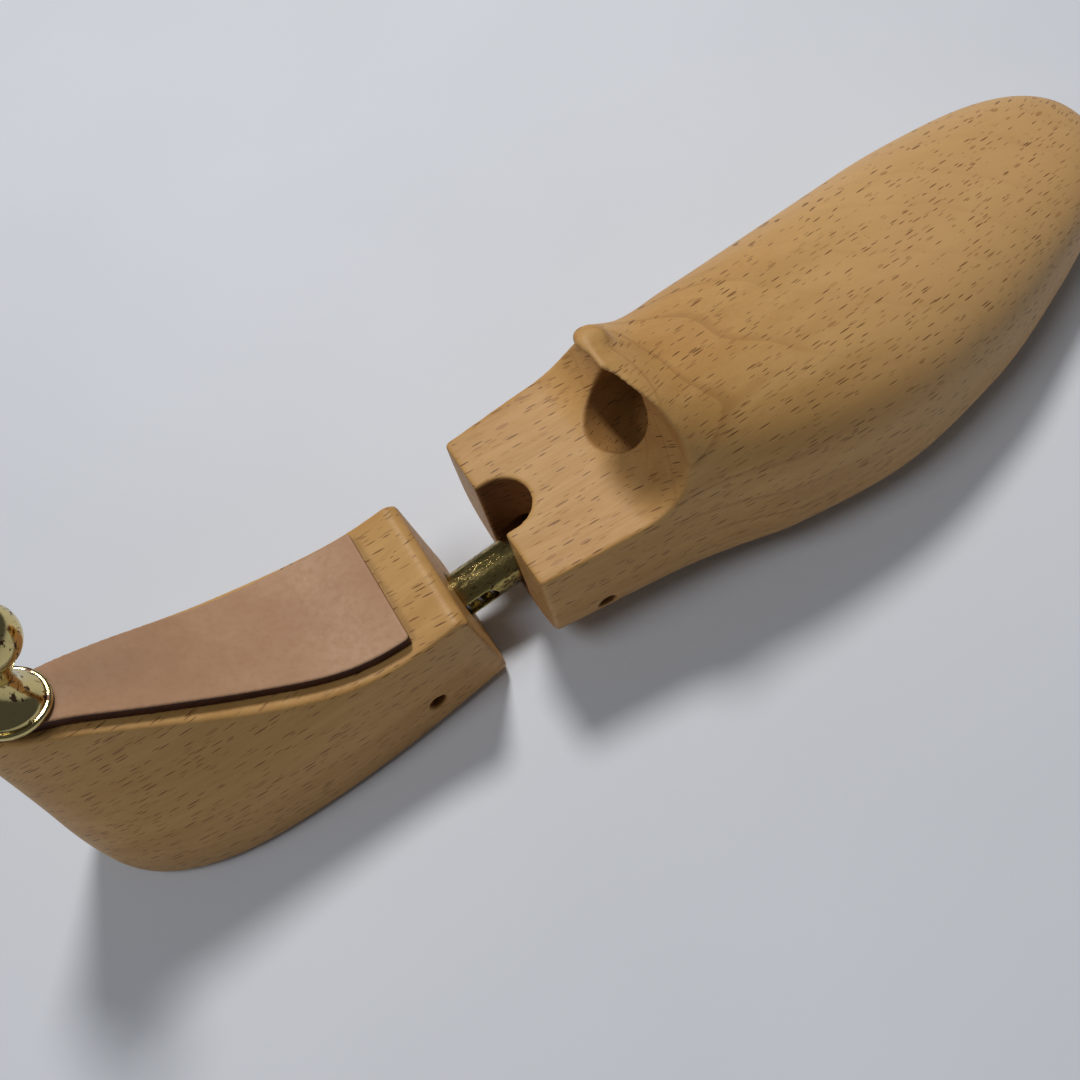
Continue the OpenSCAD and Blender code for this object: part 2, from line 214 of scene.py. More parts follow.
# Places along the tube are named _T and are measured from the fore block's rear face.
AXIS_Z = 14.5
TUBE_RISE = math.radians(7)
TUBE_R = 5.5
TUBE_WALL = 0.9
TUBE_EDGE_ROUND = 0.15
PIN_R = 2.2
PIN_CLEAR = 0.05
FORE_PIN_T = 12.9
HEEL_FACE_T = -GAP
HEEL_PIN_AT = 16.8
HEEL_PIN_T = HEEL_FACE_T - HEEL_PIN_AT
SLOT_HALF = PIN_R + 0.1
SLOT_REAR_T = HEEL_PIN_T - SLOT_HALF
SLOT_SHOWN = 8
SLOT_FRONT_T = HEEL_FACE_T + SLOT_SHOWN
TUBE_END_WALL = 4.6
TUBE_PAST_PIN = 4
TUBE_REAR_T = SLOT_REAR_T - TUBE_END_WALL
TUBE_FRONT_T = FORE_PIN_T + TUBE_PAST_PIN
TRAVEL = 8.5

# The tube slides in the heel block's bore, and passes through a notch into the fore block's bore.
BORE_CLEAR = 0.3
HEEL_BORE_R = TUBE_R + BORE_CLEAR
HEEL_BORE_T = TUBE_REAR_T - TRAVEL - 1
FORE_BORE_R = 7.2
FORE_BORE_T = TUBE_FRONT_T + 2.1
NOTCH_R = 7
NOTCH_LEN = 9.7

WIRE_R = 0.65
TURNS = 12
SPRING_CLEAR = 0.3
WASHER_THICK = 1.2
SPRING_REAR_T = HEEL_PIN_T + PIN_R + WASHER_THICK + 2 * CONTACT_GAP
SPRING_FRONT_T = FORE_PIN_T - PIN_R - WASHER_THICK - 2 * CONTACT_GAP
SPRING_R = TUBE_R - TUBE_WALL - SPRING_CLEAR - WIRE_R

# ---------------------------------------------------------------- curves


def curve_at(x, table):
    """Rows of a table at x, on a smooth curve through its rows."""
    rows = np.asarray(table, float)
    at = rows[:, 0]
    x = np.asarray(x, float)
    last = len(at) - 1
    i = np.clip(np.searchsorted(at, x, side="right") - 1, 0, last - 1)
    low = np.maximum(np.arange(last + 1) - 1, 0)
    high = np.minimum(np.arange(last + 1) + 1, last)
    slope = (rows[high] - rows[low]) / (at[high] - at[low])[:, None]
    span = (at[i + 1] - at[i])[..., None]
    t = np.clip((x - at[i])[..., None] / span, 0, 1)
    return (
        (2 * t**3 - 3 * t**2 + 1) * rows[i]
        + (t**3 - 2 * t**2 + t) * span * slope[i]
        + (3 * t**2 - 2 * t**3) * rows[i + 1]
        + (t**3 - t**2) * span * slope[i + 1]
    )


def closing(u, power):
    """Share of a width or height that is left at u, which runs from 0 to 1 over the toe."""
    return np.maximum(1 - np.clip(u, 0, 1) ** power, 1e-6) ** (1 / power)


def superellipse(a, b, power):
    """Below 1 inside the curve through a = 1 and b = 1, whose corner fills out with the power."""
    return (a**power + b**power) ** (1 / power)


def bezier(points, steps):
    """Points on one cubic curve through its two ends."""
    a, b, c, d = [np.array(p, float) for p in points]
    t = np.linspace(0, 1, steps + 1)[:, None]
    return (1 - t) ** 3 * a + 3 * (1 - t) ** 2 * t * b + 3 * (1 - t) * t**2 * c + t**3 * d


# ---------------------------------------------------------------- fields and their meshes


class Grid:
    """Sample points on a box, as open x, y and z arrays."""

    def __init__(self, low, high, step):
        self.low = np.array(low, float)
        self.step = step
        self.axes = [
            (self.low[i] + step * np.arange(int((high[i] - low[i]) / step) + 2)).astype(np.float32)
            for i in range(3)
        ]
        self.x = self.axes[0][:, None, None]
        self.y = self.axes[1][None, :, None]
        self.z = self.axes[2][None, None, :]


def even(field, step):
    """Turns an implicit function into distances, near its zero level."""
    gx, gy, gz = np.gradient(field, step)
    size = np.sqrt(gx * gx + gy * gy + gz * gz)
    return (field / np.maximum(size, 1e-3)).astype(np.float32)


def trim(a, b, r):
    """What is inside both fields, with the edge between them rounded to radius r."""
    u = np.maximum(a + r, 0)
    v = np.maximum(b + r, 0)
    return np.minimum(np.maximum(a, b), -r) + np.hypot(u, v)


def join(a, b, r):
    """What is inside either field, with the inner corner between them rounded."""
    return -trim(-a, -b, r)


def surface(field, grid):
    """Closed quad mesh over the zero level of a field: (points, quads).

    Each cell that the level crosses gets one point, and each grid edge that it crosses gets the
    quad of the four cells around that edge.
    """
    inside = field < 0
    size = np.array(field.shape)
    corners_inside = np.zeros(size - 1, np.int8)
    for i in (0, 1):
        for j in (0, 1):
            for k in (0, 1):
                corners_inside += inside[i : size[0] - 1 + i, j : size[1] - 1 + j, k : size[2] - 1 + k]
    crossed = (corners_inside > 0) & (corners_inside < 8)
    cells = np.argwhere(crossed)
    index = np.full(crossed.shape, -1, np.int64)
    index[crossed] = np.arange(len(cells))
    unit = np.eye(3, dtype=int)

    # A cell's point starts at the mean of the crossings on the cell's own edges.
    total = np.zeros((len(cells), 3))
    count = np.zeros(len(cells))
    for axis in range(3):
        p, q = [a for a in range(3) if a != axis]
        for i in (0, 1):
            for j in (0, 1):
                start = i * unit[p] + j * unit[q]
                f0 = field[tuple((cells + start).T)]
                f1 = field[tuple((cells + start + unit[axis]).T)]
                cross = (f0 < 0) != (f1 < 0)
                t = f0[cross] / (f0[cross] - f1[cross])
                total[cross] += start + t[:, None] * unit[axis]
                count[cross] += 1
    place = cells + total / count[:, None]
    place -= pull(field, place, grid.step)

    quads = []
    for axis in range(3):
        p, q = (axis + 1) % 3, (axis + 2) % 3
        here = [slice(1, -1)] * 3
        here[axis] = slice(0, -1)
        ahead = list(here)
        ahead[axis] = slice(1, None)
        start = np.array([1, 1, 1])
        start[axis] = 0
        edges = np.argwhere(inside[tuple(here)] != inside[tuple(ahead)]) + start
        ring = [edges, edges - unit[p], edges - unit[p] - unit[q], edges - unit[q]]
        quad = np.stack([index[tuple(cell.T)] for cell in ring], 1)
        leaving = inside[tuple(edges.T)]
        quad[~leaving] = quad[~leaving][:, ::-1]
        quads.append(quad)
    return grid.low + grid.step * place, np.concatenate(quads)


def pull(field, place, step):
    """How far each point, in cells, lies off the zero level, measured along the field."""
    flattest = 0.3
    furthest = 0.35
    base = np.clip(np.floor(place).astype(int), 0, np.array(field.shape) - 2)
    part = place - base
    value = np.zeros(len(place))
    slope = np.zeros((len(place), 3))
    for i in (0, 1):
        for j in (0, 1):
            for k in (0, 1):
                v = field[base[:, 0] + i, base[:, 1] + j, base[:, 2] + k]
                wx = part[:, 0] if i else 1 - part[:, 0]
                wy = part[:, 1] if j else 1 - part[:, 1]
                wz = part[:, 2] if k else 1 - part[:, 2]
                value += v * wx * wy * wz
                slope[:, 0] += v * (2 * i - 1) * wy * wz
                slope[:, 1] += v * (2 * j - 1) * wx * wz
                slope[:, 2] += v * (2 * k - 1) * wx * wy
    size = np.maximum((slope**2).sum(1), (flattest * step) ** 2)
    return np.clip(slope * (value / size)[:, None], -furthest, furthest)


def mesh_object(name, points, faces):
    """An object from points and quads. A quad whose last corner is doubled is a triangle."""
    faces = np.asarray(faces)
    kept = np.ones(faces.shape, bool)
    kept[:, 3] = faces[:, 3] != faces[:, 2]
    corners = faces[kept]
    sides = kept.sum(1)
    mesh = bpy.data.meshes.new(name)
    mesh.vertices.add(len(points))
    mesh.vertices.foreach_set("co", (np.asarray(points) * MM).astype(np.float32).ravel())
    mesh.loops.add(len(corners))
    mesh.loops.foreach_set("vertex_index", corners.astype(np.int32))
    mesh.polygons.add(len(faces))
    mesh.polygons.foreach_set("loop_start", (np.cumsum(sides) - sides).astype(np.int32))
    mesh.polygons.foreach_set("use_smooth", np.ones(len(faces), bool))
    mesh.update(calc_edges=True)
    mesh.validate()
    obj = bpy.data.objects.new(name, mesh)
    bpy.context.scene.collection.objects.link(obj)
    return obj


def carve(name, node, field, margin, step):
    """A mesh of a field, over the box of the CAD node that it replaces and a margin around it."""
    low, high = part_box(node)
    grid = Grid(np.array(low) / MM - margin, np.array(high) / MM + margin, step)
    return mesh_object(name, *surface(field(grid), grid))


def skin(rows, sides):
    """Faces over rings of points, closed onto two middle points that come after the rings."""
    here = np.arange(sides)
    after = (here + 1) % sides
    row = sides * np.arange(rows - 1)[:, None]
    end = sides * (rows - 1)
    low = np.full(sides, sides * rows)
    high = low + 1
    blocks = [
        (row + after, row + sides + after, row + sides + here, row + here),
        (low, after, here, here),
        (high, end + here, end + after, end + after),
    ]
    return np.concatenate([np.stack(block, -1).reshape(-1, 4) for block in blocks])


def store(obj, name, value):
    """Keeps value(x, y, z) on the mesh's points."""
    mesh = obj.data
    places = np.zeros(len(mesh.vertices) * 3)
    mesh.vertices.foreach_get("co", places)
    x, y, z = (places.reshape(-1, 3) / MM).T
    numbers = mesh.attributes.new(name, "FLOAT", "POINT")
    numbers.data.foreach_set("value", value(x, y, z).astype(np.float32))


# ---------------------------------------------------------------- places along the tube

AXIS_DIR = np.array([math.cos(TUBE_RISE), 0, math.sin(TUBE_RISE)])
AXIS_UP = np.array([-math.sin(TUBE_RISE), 0, math.cos(TUBE_RISE)])
AXIS_START = np.array([FORE_X, 0, AXIS_Z])


def along_axis(x, z):
    """Distance along the tube's axis and height above it, of points in the side view."""
    dx = x - FORE_X
    dz = z - AXIS_Z
    t = dx * AXIS_DIR[0] + dz * AXIS_DIR[2]
    h = dx * AXIS_UP[0] + dz * AXIS_UP[2]
    return t, h


def from_axis(points):
    """Row-frame places of points given as distance along the axis, y, and height above it."""
    points = np.asarray(points, float)
    axes = np.array([AXIS_DIR, [0, 1, 0], AXIS_UP])
    return AXIS_START + points @ axes


def pin_hole(t, h, pin_t):
    return np.hypot(t - pin_t, h) - PIN_R


# ---------------------------------------------------------------- the fore block


def from_deck(x, z):
    """Distance along the deck from its rear edge and height above it, in the side view."""
    dx = x - FORE_X
    dz = z - DECK_Z
    hx = dx * math.cos(DECK_RISE) + dz * math.sin(DECK_RISE)
    hz = dz * math.cos(DECK_RISE) - dx * math.sin(DECK_RISE)
    return hx, hz


def fore_outside(grid):
    """The block's last-shaped outside, with its sole and its rear face cut flat."""
    x, y, z = grid.x, grid.y, grid.z
    s = np.clip(x - FORE_X, 0, FORE_LEN)
    row = curve_at(s[:, 0, 0], FORE_STATIONS)[:, :, None, None]
    lateral_w, medial_w, under_z, side_z, crown_z, shift = [row[:, i] for i in range(1, 7)]
    u = (s - TOE_FROM) / (FORE_LEN - TOE_FROM)
    plan = closing(u, TOE_PLAN_POWER)
    tall = closing(u, TOE_HEIGHT_POWER)
    middle = (medial_w - lateral_w) / 2
    half = (medial_w + lateral_w) / 2 * plan
    crown_y = middle + (shift - middle) * plan
    above = np.maximum(z - side_z, 0) / ((crown_z - side_z) * tall)
    below = np.maximum(side_z - z, 0) / ((side_z - under_z) * tall)
    medial = np.maximum(y - crown_y, 0) / (middle + half - crown_y)
    lateral = np.maximum(crown_y - y, 0) / (crown_y - middle + half)
    upper = np.where(
        y > crown_y,
        superellipse(medial, above, CROWN_POWER_MEDIAL),
        superellipse(lateral, above, CROWN_POWER_LATERAL),
    )
    lower = superellipse(np.abs(y - middle) / half, below, SOLE_POWER)
    # The values shrink with the plan, so that they stay even where the toe closes.
    field = even((np.where(z >= side_z, upper, lower) - 1) * plan, grid.step)
    field = np.maximum(field, x - FORE_X - FORE_LEN)
    field = trim(field, -z, FORE_SOLE_ROUND)
    return trim(field, FORE_X - x, FORE_REAR_ROUND)


def hood_cut(hx, hz):
    """The air above the deck, in the scoop and behind the lip."""
    deck = np.maximum(hx - SCOOP_AT, -hz)
    scoop = np.hypot(hx - SCOOP_AT, hz - SCOOP_R) - SCOOP_R
    lip = np.maximum(hx - SCOOP_AT - HOOD_LIP, SCOOP_R - hz)
    return join(np.minimum(deck, scoop), lip, LIP_ROUND)


def lip_bead(outside, hx, hz, y, z):
    """A bead that follows the cut's edge, BEAD_IN below the outside and in front of the cut."""
    reach = np.sqrt(np.maximum(SCOOP_R**2 - (hz - SCOOP_R) ** 2, 0))
    past = hx - SCOOP_AT - np.maximum(reach, HOOD_LIP)
    start = np.clip((y - BEAD_FROM_Y) / BEAD_GROWS, 0, 1)
    end = np.clip((BEAD_TO_Y - y) / BEAD_FADES, 0, 1)
    r = np.where(z > DECK_Z + SCOOP_R, BEAD_R * (start * end), 0)
    return np.hypot(outside + BEAD_IN, past - BEAD_IN) - r


def hood_nub(x, y, z):
    dx, dy, dz = [(v - at) / far for v, at, far in zip((x, y, z), NUB, NUB_STRETCH)]
    return np.sqrt(dx**2 + dy**2 + dz**2) - NUB_R


def notch_wall(x, y):
    """The notch seen from above: straight sides with a round end."""
    return np.hypot(np.maximum(x - FORE_X - NOTCH_LEN + NOTCH_R, 0), y) - NOTCH_R


def recess_field(x, y, z):
    dx = x - RECESS_X
    dz = z - RECESS_Z
    down = dx * math.cos(RECESS_SLOPE) - dz * math.sin(RECESS_SLOPE)
    off = dx * math.sin(RECESS_SLOPE) + dz * math.cos(RECESS_SLOPE)
    recess = np.sqrt(off**2 + (y - RECESS_Y) ** 2 + np.maximum(down - RECESS_LEN, 0) ** 2)
    return np.maximum(recess - RECESS_R, -RECESS_MOUTH - down)


def fore_field(grid):
    x, y, z = grid.x, grid.y, grid.z
    hx, hz = from_deck(x, z)
    outside = fore_outside(grid)
    growth = HOOD_ROUND_GROWTH * np.clip((hz - HOOD_ROUND_FROM) / HOOD_ROUND_OVER, 0, 1)
    field = trim(outside, -hood_cut(hx, hz), HOOD_ROUND + growth)
    field = join(field, lip_bead(outside, hx, hz, y, z), BEAD_BLEND)
    field = join(field, hood_nub(x, y, z), NUB_BLEND)

    t, h = along_axis(x, z)
    notch = np.maximum(notch_wall(x, y), AXIS_Z - z)
    bore = np.maximum(np.hypot(h, y) - FORE_BORE_R, t - FORE_BORE_T)
    field = trim(field, -np.minimum(notch, bore), MOUTH_ROUND)
    field = trim(field, -pin_hole(t, h, FORE_PIN_T), PIN_HOLE_ROUND)
    return trim(field, -recess_field(x, y, z), RECESS_ROUND).astype(np.float32)


# ---------------------------------------------------------------- the heel block


def heel_top(x):
    return curve_at(x, TOP_LINE)[..., 1]


def from_land(x, y, z):
    """Height above the knob's seat on the leather, and distance from the knob's axis."""
    dx = x - KNOB_X
    dz = z - KNOB_FOOT_Z
    up = dx * math.sin(KNOB_LEAN) + dz * math.cos(KNOB_LEAN)
    side = dx * math.cos(KNOB_LEAN) - dz * math.sin(KNOB_LEAN)
    return up, np.hypot(side, y - KNOB_Y)


def heel_field(grid):
    x, y, z = grid.x, grid.y, grid.z
    reach = np.maximum(x - HEEL_LIFT_FROM, 0) / (HEEL_FRONT_X - HEEL_LIFT_FROM)
    lift = HEEL_FRONT_LIFT * reach**2 * np.maximum(1 - z / HEEL_LIFT_FADE, 0)
    row = curve_at((z - lift)[:, 0, :], HEEL_SLICES)[:, None, :, :]
    front_w, seat_w, back = row[..., 1], row[..., 2], row[..., 3]
    u = np.clip((HEEL_FRONT_X - x) / (HEEL_FRONT_X - HEEL_SEAT_X), 0, 1)
    width = front_w + (seat_w - front_w) * np.sin(np.pi / 2 * u)
    behind = np.maximum(HEEL_SEAT_X - x, 0) / (back + HEEL_SEAT_X)
    field = even(superellipse(np.abs(y) / width, behind, HEEL_BACK_POWER) - 1, grid.step)
    field = trim(field, -z, HEEL_SOLE_ROUND)

    xs = grid.axes[0]
    top = heel_top(xs)[:, None, None]
    slope = np.gradient(heel_top(xs), xs)[:, None, None]
    field = trim(field, (z - top) / np.sqrt(1 + slope**2), HEEL_TOP_ROUND)

    # The front face is square to the tube, with a chamfer along its top edge.
    t, h = along_axis(x, z)
    face = t - HEEL_FACE_T
    edge_rise = heel_top(HEEL_FRONT_X - 2) - AXIS_Z
    edge_h = edge_rise / math.cos(TUBE_RISE) + GAP * math.sin(TUBE_RISE)
    bevel = (face + h - edge_h) / math.sqrt(2) + FRONT_CHAMFER
    field = trim(field, trim(face, bevel, CHAMFER_ROUND), HEEL_FRONT_ROUND)

    bore = np.maximum(np.hypot(h, y) - HEEL_BORE_R, HEEL_BORE_T - t)
    field = trim(field, -bore, MOUTH_ROUND)
    field = trim(field, -pin_hole(t, h, HEEL_PIN_T), PIN_HOLE_ROUND)
    up, off = from_land(x, y, z)
    screw = np.maximum(off - SCREW_R, -LEATHER_RISE - SCREW_IN_WOOD - up)
    return np.maximum(field, -screw).astype(np.float32)


# ---------------------------------------------------------------- the leather strip


def leather_edges(x):
    """Half width, underside, top and slope of the leather at x."""
    width = curve_at(x, LEATHER_WIDTHS)[..., 1]
    back = np.clip(1 - (x - LEATHER_BACK) / LEATHER_BACK_R, 0, 1)
    width = width * np.sqrt(np.maximum(1 - back**2, 1e-4))
    slope = heel_top(x + 0.5) - heel_top(x - 0.5)
    low = heel_top(x) + CONTACT_GAP
    return width, low, low + LEATHER_THICK * np.sqrt(1 + slope**2), slope


def leather_field(grid):
    x, y, z = grid.x, grid.y, grid.z
    width, low, high, slope = [v[:, None, None] for v in leather_edges(grid.axes[0])]
    turn = 1 / np.sqrt(1 + slope**2)
    outline = np.maximum(np.abs(y - LEATHER_SHIFT) - width, LEATHER_BACK + 0.3 - x)
    outline = trim(outline, x - LEATHER_FRONT, LEATHER_CORNER_ROUND)
    field = trim(outline, (z - high) * turn, LEATHER_TOP_ROUND)
    field = trim(field, (low - z) * turn, LEATHER_UNDER_ROUND)
    up, off = from_land(x, y, z)
    foot = np.maximum(off - KNOB_BASE_R - KNOB_CLEAR, -up)
    hole = off - SCREW_R - SCREW_CLEAR
    return np.maximum(field, -np.minimum(foot, hole)).astype(np.float32)


# ---------------------------------------------------------------- tube, knob and spring


def tube_field(grid):
    """The tube in its own frame: x along its axis from the fore block's rear face."""
    t, y, h = grid.x, grid.y, grid.z
    off = np.hypot(y, h)
    field = np.maximum(off - TUBE_R, TUBE_R - TUBE_WALL - off) + 0 * t
    field = trim(field, t - TUBE_FRONT_T, TUBE_EDGE_ROUND)
    field = trim(field, TUBE_REAR_T - t, TUBE_EDGE_ROUND)
    past = t - np.clip(t, SLOT_REAR_T + SLOT_HALF, SLOT_FRONT_T - SLOT_HALF)
    field = trim(field, SLOT_HALF - np.hypot(past, h), TUBE_EDGE_ROUND)
    return trim(field, PIN_CLEAR - pin_hole(t, h, FORE_PIN_T), 0.1).astype(np.float32)


def tube_mesh(step):
    low = (TUBE_REAR_T - 1, -TUBE_R - 1, -TUBE_R - 1)
    high = (TUBE_FRONT_T + 1, TUBE_R + 1, TUBE_R + 1)
    grid = Grid(low, high, step)
    points, quads = surface(tube_field(grid), grid)
    return from_axis(points), quads


def knob_profile():
    """Radius and height of a thick rim, a flared foot, a waist and a round head."""
    r = KNOB_BASE_R
    foot_z = CONTACT_GAP
    line = [[0, foot_z], [r - 0.9, foot_z]]
    line += bezier([[r - 0.5, foot_z], [r, foot_z], [r, 0.3], [r, 0.7]], 6).tolist()
    line += bezier([[r, 0.9], [r, 1.35], [r - 0.3, 1.55], [r - 0.75, 1.55]], 6).tolist()
    line += bezier([[r - 0.95, 1.5], [r - 1.1, 1.5], [r - 1.15, 1.7], [r - 1.2, 1.85]], 4).tolist()
    line += bezier([[r - 1.3, 2.2], [r - 2.2, 3.6], [2.85, 5.0], [KNOB_NECK_R, 9.6]], 28).tolist()
    start = math.radians(-42)
    chin = [KNOB_HEAD_R * math.cos(start), KNOB_H + KNOB_HEAD_R * math.sin(start)]
    line += bezier([[KNOB_NECK_R, 9.8], [2.78, 11.4], [3.9, 15.0], chin], 16)[1:].tolist()
    for a in np.linspace(start, math.pi / 2, 30)[1:-1]:
        line.append([KNOB_HEAD_R * math.cos(a), KNOB_H + KNOB_HEAD_R * math.sin(a)])
    line.append([0, KNOB_H + KNOB_HEAD_R])
    return np.array(line)


def knob_mesh(sides=128):
    """The profile turned about the knob's axis, which leans back over the land."""
    line = knob_profile()
    rings = line[1:-1]
    a = 2 * np.pi * np.arange(sides) / sides
    body = np.empty((len(rings), sides, 3))
    body[..., 0] = np.outer(rings[:, 0], np.cos(a))
    body[..., 1] = np.outer(rings[:, 0], np.sin(a))
    body[..., 2] = rings[:, 1:]
    ends = [[0, 0, line[0, 1]], [0, 0, line[-1, 1]]]
    points = np.concatenate([body.reshape(-1, 3), ends])
    c = math.cos(KNOB_LEAN)
    s = math.sin(KNOB_LEAN)
    x = KNOB_X + points[:, 0] * c + points[:, 2] * s
    z = KNOB_FOOT_Z - points[:, 0] * s + points[:, 2] * c
    return np.stack([x, KNOB_Y + points[:, 1], z], 1), skin(len(rings), sides)


def spring_mesh(steps=36, sides=14):
    """A coil around the tube's axis, whose first and last turns are closed."""
    length = SPRING_FRONT_T - SPRING_REAR_T - 2 * WIRE_R
    closed = 2.1 * WIRE_R
    turn = np.arange(TURNS * steps + 1) / steps
    along = np.interp(turn, [0, 1, TURNS - 1, TURNS], [0, closed, length - closed, length])
    coil = 2 * np.pi * turn[:, None]
    ring = -2 * np.pi * np.arange(sides) / sides
    t = SPRING_REAR_T + WIRE_R + along[:, None] + WIRE_R * np.sin(ring)
    r = SPRING_R + WIRE_R * np.cos(ring)
    points = np.stack([t, r * np.cos(coil), r * np.sin(coil)], -1)
    ends = points[[0, -1]].mean(1)
    points = np.concatenate([points.reshape(-1, 3), ends])
    return from_axis(points), skin(len(turn), sides)


# ---------------------------------------------------------------- materials


class Nodes:
    """Short forms for building one material's node tree. Textures are laid out in millimetres."""

    def __init__(self, name):
        self.material = bpy.data.materials.new(name)
        self.material.use_nodes = True
        self.tree = self.material.node_tree
        self.shader = next(n for n in self.tree.nodes if n.type == "BSDF_PRINCIPLED")
        coords = self.tree.nodes.new("ShaderNodeTexCoord")
        self.place = self.scaled(coords.outputs["Object"], (1 / MM, 1 / MM, 1 / MM))

    def put(self, socket, value):
        if isinstance(value, bpy.types.NodeSocket):
            self.tree.links.new(value, socket)
        elif value is not None:
            socket.default_value = value

    def scaled(self, vector, scale, shift=(0, 0, 0), turn=(0, 0, 0)):
        node = self.tree.nodes.new("ShaderNodeMapping")
        self.put(node.inputs["Vector"], vector)
        node.inputs["Scale"].default_value = scale
        node.inputs["Location"].default_value = shift
        node.inputs["Rotation"].default_value = turn
        return node.outputs["Vector"]

    def split(self, vector):
        node = self.tree.nodes.new("ShaderNodeSeparateXYZ")
        self.put(node.inputs[0], vector)
        return node.outputs

    def stored(self, name):
        """A number that the mesh keeps on its points."""
        node = self.tree.nodes.new("ShaderNodeAttribute")
        node.attribute_type = "GEOMETRY"
        node.attribute_name = name
        return node.outputs["Fac"]

    def math(self, kind, a, b=None):
        node = self.tree.nodes.new("ShaderNodeMath")
        node.operation = kind
        self.put(node.inputs[0], a)
        self.put(node.inputs[1], b)
        return node.outputs[0]

    def vector(self, kind, a, b):
        node = self.tree.nodes.new("ShaderNodeVectorMath")
        node.operation = kind
        self.put(node.inputs[0], a)
        self.put(node.inputs[1], b)
        return node.outputs["Vector"]

    def noise(self, vector, scale=1.0, detail=3.0, rough=0.5, warp=0.0, colour=False):
        node = self.tree.nodes.new("ShaderNodeTexNoise")
        self.put(node.inputs["Vector"], vector)
        node.inputs["Scale"].default_value = scale
        node.inputs["Detail"].default_value = detail
        node.inputs["Roughness"].default_value = rough
        node.inputs["Distortion"].default_value = warp
        return node.outputs["Color" if colour else "Fac"]

    def cells(self, vector):
        node = self.tree.nodes.new("ShaderNodeTexVoronoi")
        self.put(node.inputs["Vector"], vector)
        node.inputs["Scale"].default_value = 1.0
        return node.outputs

    def band(self, value, low, high, out_low=0.0, out_high=1.0):
        """A smooth step from out_low to out_high, as value goes from low to high."""
        node = self.tree.nodes.new("ShaderNodeMapRange")
        node.interpolation_type = "SMOOTHSTEP"
        self.put(node.inputs["Value"], value)
        node.inputs["From Min"].default_value = low
        node.inputs["From Max"].default_value = high
        node.inputs["To Min"].default_value = out_low
        node.inputs["To Max"].default_value = out_high
        return node.outputs["Result"]

    def mix(self, share, a, b, kind="MIX"):
        node = self.tree.nodes.new("ShaderNodeMix")
        node.data_type = "RGBA"
        node.blend_type = kind
        self.put(node.inputs["Factor"], share)
        for name, value in (("A", a), ("B", b)):
            socket = next(i for i in node.inputs if i.name == name and i.type == "RGBA")
            if isinstance(value, tuple):
                value = (*value, 1.0)
            self.put(socket, value)
        return next(o for o in node.outputs if o.type == "RGBA")

    def bump(self, height, depth, strength):
        node = self.tree.nodes.new("ShaderNodeBump")
        node.inputs["Strength"].default_value = strength
        node.inputs["Distance"].default_value = depth * MM
        self.put(node.inputs["Height"], height)
        self.put(self.shader.inputs["Normal"], node.outputs["Normal"])

    def look(self, **values):
        for key, value in values.items():
            if isinstance(value, tuple):
                value = (*value, 1.0)
            self.put(self.shader.inputs[key.replace("_", " ")], value)
        return self.material


def flecks(n, place, cell, half, keep, shift):
    """Lens-shaped flecks along X, at most one to a cell, in about keep of the cells.

    cell is the size of a cell and half the half size of a fleck. Returns 1 inside a fleck, and a
    number that is the same all over one fleck.
    """
    spread = n.scaled(place, tuple(1 / c for c in cell), shift)
    field = n.cells(spread)
    away = n.vector("SUBTRACT", spread, field["Position"])
    away = n.vector("MULTIPLY", away, tuple(c / h for c, h in zip(cell, half)))
    dx, dy, dz = n.split(away)
    along = n.math("POWER", n.math("ABSOLUTE", dx), 1.35)
    across = n.math("ADD", n.math("MULTIPLY", dy, dy), n.math("MULTIPLY", dz, dz))
    size = n.math("ADD", along, across)
    pick = n.split(field["Color"])
    chosen = n.math("GREATER_THAN", pick[0], 1 - keep)
    reach = n.math("MULTIPLY", n.band(pick[0], 1 - keep, 1.0, 0.55, 1.2), chosen)
    return n.band(n.math("SUBTRACT", reach, size), -0.03, 0.2), pick[1]


def growth_rings(n, place):
    """Late wood around a pith below and to the big-toe side, clearest in front of the hood's lip."""
    pith_y = 38.0
    pith_z = -52.0
    rings_per_mm = 0.19
    x, y, z = n.split(place)
    side = n.math("SUBTRACT", y, pith_y)
    up = n.math("SUBTRACT", z, pith_z)
    off = n.math("SQRT", n.math("ADD", n.math("MULTIPLY", side, side), n.math("MULTIPLY", up, up)))
    turn = n.math("FRACT", n.math("MULTIPLY", off, rings_per_mm))
    late = n.math("MULTIPLY", n.band(turn, 0.80, 0.97), n.band(turn, 1.0, 0.975))
    crown = n.math("MULTIPLY", n.band(x, 98.0, 112.0), n.band(x, 150.0, 128.0))
    return n.math("MULTIPLY", late, n.math("ADD", n.math("MULTIPLY", crown, 0.35), 0.07))


